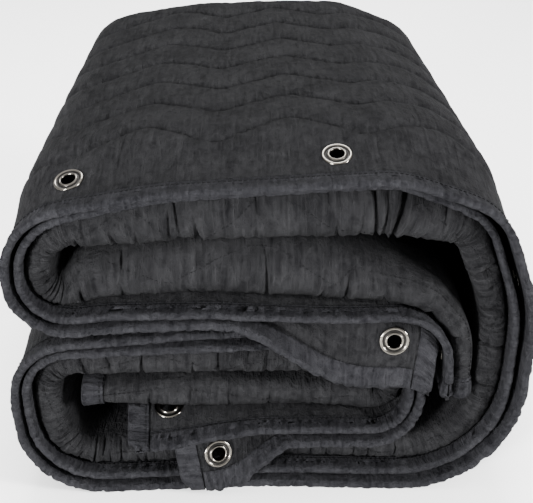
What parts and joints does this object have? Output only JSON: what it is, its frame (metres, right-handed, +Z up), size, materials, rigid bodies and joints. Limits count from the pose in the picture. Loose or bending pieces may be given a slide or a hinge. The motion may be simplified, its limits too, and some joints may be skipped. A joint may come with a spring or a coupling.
{
  "type": "sound dampening blanket",
  "caption": "Large quilted sound dampening blanket in charcoal black, folded into a rounded stack, with bound edges and metal eyelets along one side.",
  "frame": {"origin": "on the floor under the middle of the folded stack's bounding box", "axes": "+X to the right and +Z up as in the picture, +Y from the front with the bound edges to the folds at the back"},
  "size_m": [0.4702, 0.512, 0.3539],
  "materials": {
    "quilted_cloth": "woven cotton and polyester, matt, quilted over batting",
    "band_cloth": "the same woven cloth, pressed thin along the edges",
    "binding_tape": "folded fabric tape, matt",
    "nickel": "nickel plated, slightly dull"
  },
  "bodies": {
    "root": {"quilted_panel": "quilted_cloth", "eyelet_band": "band_cloth", "second_edge_band": "band_cloth", "binding_long_1": "binding_tape", "binding_long_2": "binding_tape", "binding_end_1": "binding_tape", "binding_end_2": "binding_tape", "eyelet_01": "nickel", "eyelet_02": "nickel", "eyelet_03": "nickel", "eyelet_04": "nickel", "eyelet_05": "nickel", "eyelet_06": "nickel", "eyelet_07": "nickel", "eyelet_08": "nickel", "eyelet_09": "nickel", "eyelet_10": "nickel", "eyelet_11": "nickel", "eyelet_12": "nickel", "eyelet_13": "nickel"}
  },
  "joints": []
}
